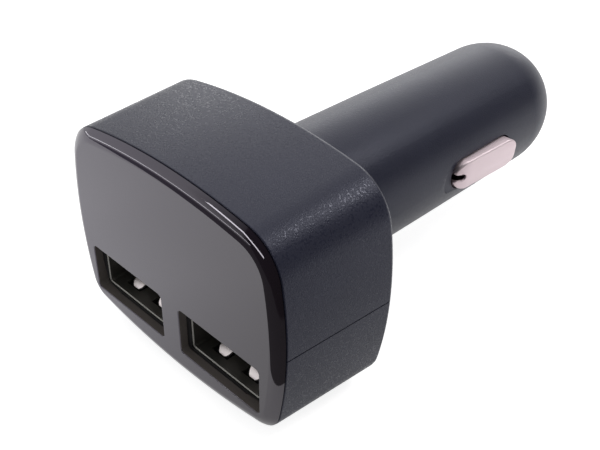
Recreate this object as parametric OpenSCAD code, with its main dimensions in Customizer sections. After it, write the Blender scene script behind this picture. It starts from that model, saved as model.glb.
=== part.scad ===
// Twin-port car charger plug: a drafted, bow-sided head with a glossy front panel and two USB-A
// sockets, on a round barrel with sprung side contacts and a sprung tip contact.
//
// Everything is drawn standing on its tip: X to the right and Y up as seen on the face, and Z
// towards the viewer, with the face at Z = 0, so that a depth d behind the face is Z = -d.
// laid() then turns the plug over, so that the barrel points along +Y and the head's top is +Z.

/* [Which piece] */
// Piece to show

/* [Head] */
// Width of the face at its waist
head_w = 40.8; // [38:0.1:46]
// Height of the face at its middle
head_h = 31.3; // [29:0.1:36]
// Depth of the head, face to rear wall
head_l = 18; // [17:0.5:24]
// Radius of the bowed left and right sides
side_arc_r = 54; // [40:1:90]
// Radius of the bowed top and bottom
crown_arc_r = 88; // [60:1:140]
// Radius of the two top corners
corner_top_r = 6.3; // [5:0.1:8]
// Radius of the two bottom corners
corner_bottom_r = 3.9; // [3.8:0.1:7]
// Draft of the head's walls, wider towards the rear (degrees)
draft = 3.4; // [0:0.2:5]
// Wall thickness of both housing halves
wall_t = 1.8; // [1.4:0.1:2.4]
// Rounding of the head's rear edge
rear_edge_r = 0.6; // [0.3:0.1:1.2]
// Height of the split between the halves, above the barrel's axis
split_y = -1.1; // [-2:0.1:0]
// Width of the shadow line along the split and behind the panel
seam_gap = 0.16; // [0.1:0.02:0.3]
// Depth of that shadow line
seam_depth = 0.35; // [0.2:0.05:0.6]

/* [Front panel] */
// Thickness of the panel behind the face
panel_t = 1.2; // [1:0.1:2]
// How far the panel wraps round the front edge
panel_wrap = 0.95; // [0.8:0.05:1.4]
// Width of the panel's rounded edge, across the face
panel_edge_w = 1.7; // [1:0.1:1.8]
// Angle at which that edge leaves the flat face (degrees)
panel_edge_a = 12; // [0:1:15]
// Reach of the panel's inner lip behind the face
lip_reach = 4; // [3:0.1:6]
// Thickness of that lip
lip_t = 1.1; // [0.8:0.1:1.3]
// Clearance between pieces that slot together
slot_clear = 0.1; // [0.05:0.01:0.2]
// Thickness of the carrier plate behind the panel
carrier_t = 1.6; // [1.2:0.1:2.5]

/* [Ports] */
// Width of each opening in the panel
port_w = 15; // [14.4:0.1:16]
// Height of each opening in the panel
port_h = 7.2; // [6.8:0.1:8]
// Corner radius of the openings
port_r = 0.6; // [0.2:0.1:1]
// Distance between the two port centres
port_pitch = 18.6; // [17.6:0.1:20]
// Height of the port centres above the head's lower edge
port_rise = 7.65; // [7:0.05:8.5]
// Outer width of the metal shell
shell_w = 13.14; // [13.1:0.01:13.2]
// Outer height of the metal shell
shell_h = 5.72; // [5.6:0.01:5.8]
// Length of the metal shell
shell_l = 14; // [12:0.1:14.4]
// Sheet thickness of the shell
shell_t = 0.32; // [0.25:0.01:0.4]
// Thickness of the insulator's tongue
tongue_t = 1.84; // [1.6:0.01:1.9]
// Gap between the tongue's sides and the shell
tongue_side = 0.7; // [0.5:0.05:1]
// Gap between the face and the tongue's front end
tongue_back = 4.3; // [4.2:0.1:5]

/* [Display] */
// Width of the display behind the panel
display_w = 25; // [18:0.5:27]
// Length of the display, front to back
display_l = 5.5; // [4:0.1:6]
// Gap between the port openings and the display
display_gap = 4.3; // [3:0.1:6]
// Gap between the carrier's top edge and the display
display_margin = 1.65; // [1.4:0.05:3]

/* [Barrel] */
// Diameter of the barrel
barrel_d = 20.8; // [20.4:0.1:21.2]
// Wall thickness of the barrel
barrel_wall = 1.8; // [1.4:0.1:2]
// Fillet where the barrel leaves the head
root_r = 1.4; // [0.8:0.1:2]
// Distance from the face to the end of the barrel's straight part
straight_end = 41.5; // [36:0.5:41.5]
// How much thinner the barrel is at the nose than at the head
nose_taper = 0.2; // [0:0.05:0.4]
// Distance from the face to the start of the rounded nose
nose_start = 65.6; // [64:0.1:70]
// Length of the nose to its apex
nose_l = 11; // [9:0.1:12]
// Radius of the flat on the nose round the tip contact
nose_flat_r = 3; // [2.6:0.1:4]

/* [Contacts] */
// Length of a side contact along the barrel
side_l = 14; // [13:0.1:15]
// Height of a side contact
side_h = 4.8; // [4:0.1:5.4]
// Height of the side contacts' middle above the barrel's axis
side_y = -0.5; // [-1:0.1:0.5]
// How far a side contact stands out of the barrel where its crown starts
side_out = 1; // [0.6:0.1:1.2]
// How much further out the crown is at the contact's far end
side_lean = 0.4; // [0:0.1:0.5]
// Distance from the face to the middle of the side contacts
side_mid = 51.6; // [50.5:0.1:52.5]
// Length of the contact's head-side end, which slopes down to the barrel
side_slope = 3; // [2:0.1:4]
// How far a side contact can be pressed in
side_travel = 1.2; // [1:0.1:1.5]
// Sheet thickness of the side contacts
side_t = 0.4; // [0.3:0.05:0.5]
// Gap round a side contact in its hole
pocket_gap = 0.2; // [0.15:0.05:0.6]
// Length of the shallow recess in front of the contact's head-side end
recess_l = 2; // [1:0.1:2.5]
// Depth of that recess in the barrel's wall
recess_t = 0.4; // [0.3:0.1:1.2]
// Diameter of the tip contact
tip_d = 4.2; // [3.8:0.1:5]
// How far the tip contact stands out of the nose
tip_out = 3; // [2:0.1:4]
// How far the tip contact can be pressed in
tip_travel = 2.6; // [1.5:0.1:3]
// Radial clearance of the tip contact in its bore
tip_clear = 0.1; // [0.05:0.01:0.2]
// Wire diameter of the tip spring
spring_wire = 0.6; // [0.4:0.05:0.8]

/* [Boards] */
// Thickness of the circuit boards
board_t = 1.2; // [0.8:0.1:1.6]
// Diameter of the output capacitor
cap_out_d = 8; // [6.3:0.1:8]
// Diameter of the input capacitor
cap_in_d = 6.3; // [5:0.1:8]
// Length of both capacitors
cap_l = 11; // [8:0.5:12]
// Distance from the face to the middle of the inductor
coil_at = 27; // [26:0.5:29]
// Diameter of the inductor
coil_d = 9.2; // [7:0.1:10]
// Height of the inductor
coil_h = 6; // [4:0.1:7]

/* [Hidden] */
$fn = 96;
big = 200;

// the head's outline: eight arcs that run into each other
side_c = [head_w / 2 - side_arc_r, 0];
crown_c = [0, head_h / 2 - crown_arc_r];

// centre of a corner arc of radius r that touches the side arc and the crown arc
function corner_c(r) =
    let (v = crown_c - side_c, d = norm(v), s = side_arc_r - r, t = crown_arc_r - r,
         a = (s * s - t * t + d * d) / (2 * d), h = sqrt(s * s - a * a))
    side_c + a * v / d + h * [-v[1], v[0]] / d;
function angle_from(c, p) = atan2(p[1] - c[1], p[0] - c[0]);

top_c = corner_c(corner_top_r);
low_c = corner_c(corner_bottom_r);
side_top = angle_from(side_c, top_c);
side_low = angle_from(side_c, low_c);
crown_top = angle_from(crown_c, top_c);
crown_low = angle_from(crown_c, low_c);

// [centre, radius, from angle, to angle], anticlockwise from the right side
outline = [
    [side_c, side_arc_r, -side_low, side_top],
    [top_c, corner_top_r, side_top, crown_top],
    [crown_c, crown_arc_r, crown_top, 180 - crown_top],
    [[-top_c[0], top_c[1]], corner_top_r, 180 - crown_top, 180 - side_top],
    [-side_c, side_arc_r, 180 - side_top, 180 + side_low],
    [-low_c, corner_bottom_r, 180 + side_low, 180 + crown_low],
    [-crown_c, crown_arc_r, 180 + crown_low, 360 - crown_low],
    [[low_c[0], -low_c[1]], corner_bottom_r, 360 - crown_low, 360 - side_low]
];

housing_z = -panel_wrap - seam_gap;
rear_out = head_l * tan(draft);
lip_out = wall_t + slot_clear;
carrier_inset = lip_out + lip_t + slot_clear;

barrel_r = barrel_d / 2;
bore_r = barrel_r - barrel_wall;
nose_r = barrel_r - nose_taper / 2;
nose_face = nose_start + nose_l * sqrt(1 - pow(nose_flat_r / nose_r, 2));
total_l = nose_face + tip_out;
axis_h = head_h / 2 + rear_out;

port_x = port_pitch / 2;
port_drop = head_h / 2 - port_rise;
shell_floor = -port_drop - shell_h / 2;
shell_back = panel_t + shell_l;
tongue_y = shell_h / 2 - shell_t - 0.4 - tongue_t / 2;
tongue_w = shell_w - 2 * (shell_t + tongue_side);
insulator_l = 4;
finger_in = 0.42; // how far a finger is bent in
finger_w = 2.4;
finger_x = 2.9;
finger_root = 8.5; // depths of a finger's root, bend and free end
finger_bend = 4;
finger_end = 2.9;

board_top = split_y;
board_low = board_top - board_t;
board_w = 2 * sqrt(pow(bore_r, 2) - pow(board_low, 2)) - 4 * slot_clear;
display_top = head_h / 2 - carrier_inset - display_margin;
display_low = -port_drop + port_h / 2 + display_gap;
display_h = display_top - display_low;
display_y = (display_top + display_low) / 2;
display_side = 3.5; // how far the display's board stands out on each side
display_rim = 1.2; // and above and below
display_back = panel_t + display_l;
board_from = display_back + board_t;
pins_z = (shell_back + head_l - wall_t) / 2;

pocket_h = side_h + 2 * pocket_gap;
pocket_l = side_l + 2 * pocket_gap;
flange_edge = 0.7; // how far the flange reaches behind the wall
flange_h = pocket_h + 2 * flange_edge;
flange_l = pocket_l + 2 * flange_edge;
flange_x = sqrt(pow(bore_r, 2) - pow(flange_h / 2 + abs(side_y), 2)) - 0.02;
tail_w = 2 * (flange_x - side_t - side_travel - 0.6);
tail_from = side_mid - flange_l / 2 - 1;
side_rim = 0.7; // rounding of the contact's far end
slit_w = 0.9;
slit_l = 2.4;
side_drop = side_out + 0.1; // from the contact's crown to its sloping end
slope_r = (pow(side_slope, 2) + pow(side_drop, 2)) / (2 * side_drop);

tip_r = tip_d / 2;
collar_r = tip_r + 1.3;
collar_t = 1.4;
shoulder = nose_face - 2.8;
collar_back = shoulder - collar_t;
spring_room = 5; // length of the tip spring when it is pressed home
seat_t = 1.1;
seat_front = collar_back - tip_travel - spring_room;
board_end = seat_front - seat_t;
cavity_end = board_end + 0.3;

module laid() {
    translate([0, -total_l / 2, axis_h]) rotate([90, 0, 0]) children();
}

module at_depth(d) {
    translate([0, 0, -d]) children();
}

// the outline's points, moved out by off, with the same number on each arc
function outline_points(off, steps = 8) =
    [for (a = outline) for (i = [0 : steps - 1])
        let (t = a[2] + (a[3] - a[2]) * i / steps)
            a[0] + max(0.3, a[1] + off) * [cos(t), sin(t)]];

// a solid skinned over copies of the outline, each [offset, z], from the face downwards
module loft(rings) {
    n = len(outline_points(0));
    m = len(rings);
    polyhedron(
        points = [for (r = rings) for (p = outline_points(r[0])) [p[0], p[1], r[1]]],
        faces = concat([[for (i = [n - 1 : -1 : 0]) i]],
            [for (k = [0 : m - 2]) for (i = [0 : n - 1]) let (j = (i + 1) % n)
                [k * n + i, k * n + j, (k + 1) * n + j, (k + 1) * n + i]],
            [[for (i = [0 : n - 1]) (m - 1) * n + i]]));
}

// a quarter arc of points from angle a0 to a1 about c
function arc(c, r, a0, a1, steps = 5) =
    [for (i = [0 : steps]) let (t = a0 + (a1 - a0) * i / steps) c + r * [cos(t), sin(t)]];

function wall_off(d) = d * tan(draft);

module box(size, pos) {
    translate(pos) cube(size, center = true);
}

// a prism along X with round ends, its length along Z
module obround_prism(l, h) {
    rotate([0, 90, 0]) linear_extrude(big) union() {
        square([l - h, h], center = true);
        for (e = [-1, 1]) translate([e * (l - h) / 2, 0]) circle(h / 2);
    }
}

module rounded_slot(w, h, r, l) {
    linear_extrude(l) union() {
        square([w - 2 * r, h], center = true);
        square([w, h - 2 * r], center = true);
        for (x = [-1, 1], y = [-1, 1])
            translate([x * (w / 2 - r), y * (h / 2 - r)]) circle(r, $fn = 32);
    }
}

module at_ports(sides = [-1, 1]) {
    for (s = sides) translate([s * port_x, -port_drop, 0]) children();
}

// front

// the edge is an arc from the flat face to the back of the wrap
module front_panel() {
    chord_a = atan(panel_wrap / panel_edge_w);
    edge_r = norm([panel_wrap, panel_edge_w]) / (2 * sin(chord_a - panel_edge_a));
    edge_c = -[panel_edge_w, 0] - edge_r * [sin(panel_edge_a), cos(panel_edge_a)];
    edge = arc(edge_c, edge_r, 90 - panel_edge_a, 90 - 2 * chord_a + panel_edge_a);
    color([0.2, 0.19, 0.21]) laid() difference() {
        union() {
            loft(edge);
            loft([[-lip_out, -panel_wrap / 2], [-lip_out, -lip_reach]]);
        }
        loft([[-lip_out - lip_t, -panel_t], [-lip_out - lip_t, -lip_reach - 1]]);
        at_ports() at_depth(panel_t + 1) rounded_slot(port_w, port_h, port_r, panel_t + 2);
    }
}

module panel_carrier() {
    collar_end = lip_reach + 0.3;
    color([0.07, 0.07, 0.08]) laid() difference() {
        union() {
            at_depth(panel_t + carrier_t)
                linear_extrude(carrier_t) polygon(outline_points(-carrier_inset));
            // collars round the shells and the display, kept clear of the panel's lip
            intersection() {
                union() {
                    at_ports() at_depth(collar_end)
                        rounded_slot(port_w + 1, port_h + 1, port_r, collar_end - panel_t);
                    translate([0, display_y, 0]) at_depth(display_back)
                        rounded_slot(display_w + 2.4, display_h + 2.4, 1, display_l);
                }
                at_depth(big) linear_extrude(big) polygon(outline_points(-carrier_inset));
            }
        }
        at_ports() box([shell_w + 2 * slot_clear, shell_h + 2 * slot_clear, big], [0, 0, 0]);
        box([display_w + 2 * slot_clear, display_h + 2 * slot_clear, big], [0, display_y, 0]);
    }
}

module display() {
    color([0.12, 0.12, 0.13]) laid() difference() {
        box([display_w, display_h, display_l], [0, display_y, -panel_t - display_l / 2]);
        // the cups of three figures, seven bars each
        for (k = [-1 : 1]) translate([k * 7.6, display_y, -panel_t - 0.2]) {
            for (y = [-1 : 1]) box([3, 0.8, 0.8], [0, y * 3.2, 0]);
            for (x = [-1, 1], y = [-1, 1]) box([0.8, 2.2, 0.8], [x * 2, y * 1.6, 0]);
        }
    }
}

module display_board() {
    color([0.1, 0.28, 0.16]) laid() difference() {
        box([display_w + 2 * display_side, display_h + 2 * display_rim, board_t],
            [0, display_y, -display_back - board_t / 2]);
        for (s = [-1, 1])
            translate([s * (display_w + display_side) / 2, display_top - 1,
                       -display_back - board_t - 1])
                cylinder(h = board_t + 2, r = 0.8, $fn = 24);
    }
}

// housing

module head_shell() {
    rear = arc([rear_out - rear_edge_r, -head_l + rear_edge_r], rear_edge_r, 0, -90);
    difference() {
        loft(concat([[wall_off(-housing_z), housing_z]], rear));
        loft([[wall_off(-housing_z) - wall_t, housing_z + 1],
            [wall_off(-housing_z) - wall_t, housing_z],
            [rear_out - wall_t, -head_l + wall_t]]);
        at_depth(head_l + 1) cylinder(h = wall_t + 2, r = bore_r + 0.5);
    }
}

module barrel_shell() {
    nose = [for (i = [0 : 14])
        let (t = i / 14 * acos(nose_flat_r / nose_r))
            [nose_r * cos(t), -nose_start - nose_l * sin(t)]];
    root = arc([barrel_r + root_r, -head_l - root_r], root_r, 90, 180);
    rotate_extrude() polygon(concat(
        [[bore_r, -head_l + wall_t], [barrel_r + root_r, -head_l + wall_t]], root,
        [[barrel_r, -straight_end]], nose,
        [[tip_r + tip_clear, -nose_face], [tip_r + tip_clear, -shoulder],
         [collar_r + 2 * tip_clear, -shoulder], [collar_r + 2 * tip_clear, -cavity_end],
         [bore_r, -cavity_end]]));
}

// the shadow line that runs along both sides of the head at the split
module split_line() {
    for (s = [-1, 1]) translate([0, split_y + seam_gap / 2, 0]) rotate([90, 0, 0])
        linear_extrude(seam_gap) polygon([
            [s * (head_w / 2 - seam_depth + wall_off(-housing_z)), housing_z + 1],
            [s * (head_w / 2 - seam_depth + rear_out), -head_l - 1],
            [s * head_w, -head_l - 1], [s * head_w, housing_z + 1]]);
}

module housing() {
    difference() {
        union() {
            head_shell();
            barrel_shell();
        }
        for (s = [0, 1]) mirror([s, 0, 0]) at_depth(side_mid) {
            translate([barrel_r / 2, side_y, 0]) obround_prism(pocket_l, pocket_h);
            translate([barrel_r - recess_t, side_y, recess_l / 2])
                obround_prism(pocket_l + recess_l, pocket_h);
        }
        split_line();
    }
}

module upper_housing() {
    rib_low = display_top + display_rim - 2;
    rib_top = head_h / 2 - wall_t / 2;
    color([0.17, 0.18, 0.21]) laid() {
        intersection() {
            housing();
            translate([-big / 2, split_y, -big]) cube(big + 1);
        }
        // ribs that hold the display board from behind
        for (x = [-1, 1])
            box([1, rib_top - rib_low, head_l - board_from - wall_t / 2],
                [x * (display_w / 2 - 0.5), (rib_top + rib_low) / 2,
                 -(board_from + head_l - wall_t / 2) / 2]);
    }
}

module lower_housing() {
    rib_top = shell_floor - board_t;
    rail_l = 16;
    rail_h = 1.4;
    color([0.17, 0.18, 0.21]) laid() {
        intersection() {
            housing();
            translate([-big / 2, split_y - big, -big]) cube([big, big, big + 1]);
        }
        // ribs under the port board
        for (x = [-1, 0, 1])
            box([1.2, head_h / 2 - wall_t / 2 + rib_top, head_l - lip_reach - 1.5],
                [x * port_x, (rib_top - head_h / 2 + wall_t / 2) / 2,
                 -(head_l + lip_reach + 0.5) / 2]);
        // rails under the main board
        for (s = [-1, 1])
            box([1.6, rail_h, rail_l],
                [s * (bore_r - 0.5), board_low - rail_h / 2, -head_l - 3 - rail_l / 2]);
    }
}

// ports

// two spring fingers in one wide wall of a shell, bent in towards the plug
module shell_fingers() {
    low = -shell_h / 2;
    for (x = [-1, 1]) translate([x * finger_x - finger_w / 2, 0, 0]) rotate([90, 0, 90])
        linear_extrude(finger_w) polygon([
            [low, -finger_root], [low + shell_t, -finger_root],
            [low + shell_t + finger_in, -finger_bend], [low + shell_t, -finger_end],
            [low, -finger_end], [low + finger_in, -finger_bend]]);
}

module usb_shell(s) {
    color([0.72, 0.72, 0.74]) laid() at_ports([s]) {
        difference() {
            at_depth(shell_back) rounded_slot(shell_w, shell_h, 0.6, shell_l);
            at_depth(shell_back - shell_t)
                rounded_slot(shell_w - 2 * shell_t, shell_h - 2 * shell_t, 0.3, shell_l + 1);
            for (x = [-1, 1])
                box([finger_w + 0.6, big, finger_root - finger_end + 0.1],
                    [x * finger_x, 0, -(finger_root + finger_end) / 2 + 0.25]);
        }
        for (m = [0, 1]) mirror([0, m, 0]) shell_fingers();
    }
}

module usb_insulator(s) {
    clear = 2 * (shell_t + 0.02);
    color([0.08, 0.08, 0.09]) laid() at_ports([s]) {
        at_depth(shell_back - shell_t)
            rounded_slot(shell_w - clear, shell_h - clear, 0.4, insulator_l);
        box([tongue_w, tongue_t, shell_back - shell_t - tongue_back],
            [0, tongue_y, -(shell_back - shell_t + tongue_back) / 2]);
    }
}

module usb_contacts(s) {
    from = tongue_back + 0.9;
    to = shell_back - shell_t - insulator_l;
    color([0.85, 0.68, 0.32]) laid() at_ports([s])
        for (x = [-3.5, -1, 1, 3.5]) // the standard places, the outer two wider
            box([x * x > 2 ? 1.2 : 1, 0.2, to - from],
                [x, tongue_y - tongue_t / 2 - 0.1, -(from + to) / 2]);
}

module usb_board() {
    board_l = head_l - wall_t - lip_reach - 0.6;
    color([0.1, 0.28, 0.16]) laid()
        box([port_pitch + shell_w, board_t, board_l],
            [0, shell_floor - board_t / 2, -lip_reach - 0.5 - board_l / 2]);
}

module board_pins() {
    pin_pitch = 2.54;
    pin_w = 0.6;
    color([0.85, 0.68, 0.32]) laid() for (k = [-2.5 : 2.5])
        box([pin_w, board_low - shell_floor, pin_w],
            [k * pin_pitch, (board_low + shell_floor) / 2, -pins_z]);
}

// barrel electronics

module main_board() {
    color([0.1, 0.28, 0.16]) laid() difference() {
        box([board_w, board_t, board_end - board_from],
            [0, board_top - board_t / 2, -(board_end + board_from) / 2]);
        for (s = [-1, 1])
            box([board_w, big, board_end - tail_from + 2],
                [s * (board_w + tail_w) / 2, 0, -(board_end + tail_from + 2) / 2]);
    }
}

// a capacitor lying on the main board, its base towards the face
module capacitor(d, from, l) {
    translate([0, board_top + d / 2, 0]) rotate_extrude() polygon([
        [0, -from], [d / 2 - 0.3, -from], [d / 2, -from - 0.3], [d / 2, -from - 1.2],
        [d / 2 - 0.3, -from - 1.6], [d / 2, -from - 2], [d / 2, -from - l + 0.3],
        [d / 2 - 0.3, -from - l], [d / 2 - 0.7, -from - l], [d / 2 - 0.7, -from - l + 0.2],
        [0, -from - l + 0.2]]);
}

// one on each side of the inductor
module output_capacitor() {
    color([0.13, 0.15, 0.22]) laid()
        capacitor(cap_out_d, coil_at - coil_d / 2 - cap_l - 1.5, cap_l);
}

module input_capacitor() {
    color([0.13, 0.15, 0.22]) laid()
        capacitor(cap_in_d, coil_at + coil_d / 2 + 2.4, cap_l);
}

// the inductor stands on the main board
module on_inductor() {
    translate([0, board_top, -coil_at]) rotate([-90, 0, 0]) children();
}

module inductor_core() {
    color([0.25, 0.24, 0.24]) laid() on_inductor() rotate_extrude() polygon([
        [0, 0], [coil_d / 2, 0], [coil_d / 2, 1], [coil_d / 4, 1], [coil_d / 4, coil_h - 1],
        [coil_d / 2, coil_h - 1], [coil_d / 2, coil_h], [0, coil_h]]);
}

module inductor_coil() {
    turns = 7;
    pitch = (coil_h - 2) / turns;
    color([0.72, 0.42, 0.22]) laid() on_inductor() rotate_extrude() polygon(concat(
        [[coil_d / 4, coil_h - 1], [coil_d / 4, 1]],
        [for (k = [0 : turns - 1]) each [[coil_d / 2 - 0.5, 1 + k * pitch],
            [coil_d / 2 - 0.25, 1 + (k + 0.5) * pitch]]],
        [[coil_d / 2 - 0.5, coil_h - 1]]));
}

// an eight-legged chip under the main board
module converter_chip() {
    chip = [3.9, 1.4, 4.9];
    chip_drop = 0.8; // from the board to the chip's middle
    leg_pitch = 1.27;
    leg_w = 0.4;
    leg_t = 0.2;
    color([0.09, 0.09, 0.1]) laid() translate([0, board_low, -coil_at + 2.5]) {
        box(chip, [0, -chip_drop, 0]);
        for (s = [-1, 1], k = [-1.5 : 1.5]) {
            box([0.7, leg_t, leg_w], [s * (chip[0] / 2 + 0.25), -chip_drop, k * leg_pitch]);
            box([leg_t, chip_drop + leg_t / 2, leg_w],
                [s * (chip[0] / 2 + 0.6), -(chip_drop + leg_t / 2) / 2, k * leg_pitch]);
        }
    }
}

module diode() {
    color([0.1, 0.1, 0.1]) laid() translate([0, board_low, -coil_at - 6]) {
        box([2.6, 2, 4.3], [0, -1.1, 0]);
        for (s = [-1, 1]) box([1.4, 0.3, 0.8], [0, -0.15, s * 2.1]);
    }
}

// sprung contacts

// the crown follows the barrel's roundness and leans out towards its round far end; its
// head-side end slopes down
module side_pan(inset) {
    crown = barrel_r + side_out - inset;
    end = side_l / 2 - inset;
    far = arc([crown + side_lean - side_rim, side_rim - end], side_rim, -90, 0);
    near = arc([crown - slope_r, end - side_slope], slope_r, 0, asin(side_slope / slope_r));
    intersection() {
        translate([0, side_y, 0]) obround_prism(2 * end, side_h - 2 * inset);
        rotate_extrude() polygon(concat([[0, -end]], far, near, [[0, end]]));
    }
}

// a drawn cap with a flange behind the barrel's wall and a slit in its head-side end
module side_contact(s) {
    color([0.84, 0.81, 0.8]) laid() mirror([s < 0 ? 1 : 0, 0, 0]) at_depth(side_mid)
        difference() {
            union() {
                side_pan(0);
                box([side_t, flange_h, flange_l], [flange_x - side_t / 2, side_y, 0]);
            }
            intersection() {
                side_pan(side_t);
                translate([flange_x, -big / 2, -big / 2]) cube(big);
            }
            translate([-big + flange_x - side_t, -big / 2, -big / 2]) cube(big);
            translate([flange_x, side_y - slit_w / 2, side_l / 2 - slit_l])
                cube([big, slit_w, slit_l + 1]);
        }
}

// a bow of spring strip between the main board's edge and the contact
module side_spring(s) {
    foot = tail_w / 2;
    crown = flange_x - side_t;
    half = 6; // half the bow's length along the barrel
    strip_w = 3;
    strip_t = 0.35;
    r = (half * half + pow(crown - foot, 2)) / (2 * (crown - foot));
    color([0.7, 0.7, 0.72]) laid() mirror([s < 0 ? 1 : 0, 0, 0])
        translate([0, board_top - board_t / 2, -side_mid]) intersection() {
            translate([crown - r, 0, 0]) rotate([90, 0, 0]) difference() {
                cylinder(h = strip_w, r = r, center = true);
                cylinder(h = strip_w + 1, r = r - strip_t, center = true);
            }
            translate([foot, -strip_w, -big / 2]) cube(big);
        }
}

module spring_seat() {
    color([0.8, 0.66, 0.36]) laid() at_depth(seat_front) difference() {
        cylinder(h = seat_t, r = collar_r);
        translate([0, 0, -1]) cylinder(h = 1.4, r = 1.2);
    }
}

// a round wire wound into a helix along Z, its ends cut flat
module wound(r, wire, l, turns, steps = 20, sides = 8) {
    n = turns * steps;
    rise = l - wire;
    ring = [for (i = [0 : n]) for (k = [0 : sides - 1])
        let (t = 360 * i / steps, a = 360 * k / sides, q = r + wire / 2 * cos(a))
            [q * cos(t), q * sin(t), wire / 2 * (1 + sin(a)) + rise * i / n]];
    polyhedron(points = ring, faces = concat(
        [[for (k = [0 : sides - 1]) k]],
        [[for (k = [sides - 1 : -1 : 0]) n * sides + k]],
        [for (i = [0 : n - 1]) for (k = [0 : sides - 1]) let (j = (k + 1) % sides)
            [i * sides + k, (i + 1) * sides + k, (i + 1) * sides + j, i * sides + j]]));
}

module tip_spring() {
    color([0.7, 0.7, 0.72]) laid() at_depth(collar_back)
        wound(collar_r - 0.9, spring_wire, collar_back - seat_front, 6);
}

module tip_contact() {
    spigot_r = 1.6;
    end = nose_face + tip_out;
    end_r = 1; // rounding of the pin's end
    round_end = arc([tip_r - end_r, -end + end_r], end_r, 0, -90);
    spigot_l = 1.5;
    color([0.84, 0.81, 0.8]) laid() rotate_extrude() polygon(concat(
        [[0, -collar_back + spigot_l], [spigot_r, -collar_back + spigot_l],
         [spigot_r, -collar_back], [collar_r, -collar_back], [collar_r, -shoulder],
         [tip_r, -shoulder]], round_end, [[0, -end]]));
}

front_panel();
panel_carrier();
display();
display_board();
upper_housing();
lower_housing();
usb_shell(-1);  // usb_shell_left
usb_shell(1);  // usb_shell_right
usb_insulator(-1);  // usb_insulator_left
usb_insulator(1);  // usb_insulator_right
usb_contacts(-1);  // usb_contacts_left
usb_contacts(1);  // usb_contacts_right
usb_board();
board_pins();
main_board();
output_capacitor();
inductor_core();
inductor_coil();
input_capacitor();
converter_chip();
diode();
side_contact(-1);  // side_contact_left
side_contact(1);  // side_contact_right
side_spring(-1);  // side_spring_left
side_spring(1);  // side_spring_right
spring_seat();
tip_spring();
tip_contact();
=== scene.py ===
# %% [markdown]
# # A car charger plug
#
# This lesson dresses a twin-port car charger plug: a moulded charcoal head with a glossy smoked
# panel, two metal-lined ports, and a round barrel with sprung nickel contacts. The solids come
# from the CAD model. Here they get finer skins, small edge roundings and real finishes.

# %% Load the frame
from math import acos, atan2, cos, degrees, pi, radians, sin, sqrt, tan

import bmesh
import bpy
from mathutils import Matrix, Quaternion, Vector


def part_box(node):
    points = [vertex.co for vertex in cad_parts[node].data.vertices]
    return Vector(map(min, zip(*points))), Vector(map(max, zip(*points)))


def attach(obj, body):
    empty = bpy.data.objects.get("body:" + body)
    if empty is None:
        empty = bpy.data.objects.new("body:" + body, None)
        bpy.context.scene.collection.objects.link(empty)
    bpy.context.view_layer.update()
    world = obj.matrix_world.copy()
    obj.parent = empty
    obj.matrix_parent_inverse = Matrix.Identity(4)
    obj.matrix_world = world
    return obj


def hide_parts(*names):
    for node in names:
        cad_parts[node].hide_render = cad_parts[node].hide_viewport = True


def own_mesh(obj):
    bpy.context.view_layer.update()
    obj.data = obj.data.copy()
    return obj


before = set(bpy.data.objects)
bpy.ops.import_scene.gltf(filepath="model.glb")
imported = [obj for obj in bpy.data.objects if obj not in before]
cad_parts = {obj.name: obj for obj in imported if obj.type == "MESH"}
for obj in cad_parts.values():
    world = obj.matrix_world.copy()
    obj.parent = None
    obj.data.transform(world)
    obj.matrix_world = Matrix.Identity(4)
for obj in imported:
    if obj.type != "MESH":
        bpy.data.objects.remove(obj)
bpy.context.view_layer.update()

# %% [markdown]
# The CAD model is in metres and so is Blender. Sizes are easier to read in millimetres, so the
# plug's are all written times `mm`. The places of the face and of the barrel's axis come from the
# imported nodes, so the new pieces fit them without any nudging.

# %% Shared sizes
mm = 0.001
face_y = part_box("front_panel")[0][1]
axis_z = (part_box("tip_contact")[0][2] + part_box("tip_contact")[1][2]) / 2
head_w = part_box("front_panel")[1][0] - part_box("front_panel")[0][0]
head_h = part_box("front_panel")[1][2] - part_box("front_panel")[0][2]
head_l = 18 * mm
head_end = face_y + head_l
print("face", round(face_y / mm, 2), "axis", round(axis_z / mm, 2), "head", round(head_w / mm, 1))


def deselect_all():
    """Leaves nothing selected, so that the next operator acts on its own piece alone."""
    if bpy.context.object and bpy.context.object.mode != "OBJECT":
        bpy.ops.object.mode_set(mode="OBJECT")
    bpy.ops.object.select_all(action="DESELECT")


def take(piece):
    """Makes a piece the selected and active one."""
    deselect_all()
    piece.select_set(True)
    bpy.context.view_layer.objects.active = piece


# %% [markdown]
# The photograph looks down on the plug from its front right corner, with a lens of about 52 mm.
# Camera, floor and lamps come first, so that each piece can be judged in its final light.

# %% Camera
camera_place = (70.884 * mm, -87.393 * mm, 84.471 * mm)
camera_turn = (radians(54.557), radians(-0.834), radians(45.527))
deselect_all()
bpy.ops.object.camera_add(location=camera_place, rotation=camera_turn)
camera = bpy.context.object
camera.name = "camera"
camera.data.sensor_width = 36
camera.data.lens = 52.37
camera.data.clip_start = 10 * mm
bpy.context.scene.camera = camera
print("camera looks from", [round(v / mm) for v in camera_place])

# %% [markdown]
# Every finish, the floor's paper and the room's light are node trees. A few helpers save wiring
# them by hand. In most places they take a plain number or another node's output.

# %% Helpers for node trees
def feed(tree, entry, given):
    """Sets a node's input to a plain value, or links another node's output to it."""
    if isinstance(given, bpy.types.NodeSocket):
        tree.links.new(given, entry)
    else:
        entry.default_value = given


def new_material(name):
    """A material, its node tree and its Principled shader."""
    material = bpy.data.materials.new(name)
    material.use_nodes = True
    return material, material.node_tree, material.node_tree.nodes["Principled BSDF"]


def reckoned(tree, operation, *numbers):
    """What a Math node makes of its numbers."""
    node = tree.nodes.new("ShaderNodeMath")
    node.operation = operation
    for entry, number in zip(node.inputs, numbers):
        feed(tree, entry, number)
    return node.outputs[0]


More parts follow.
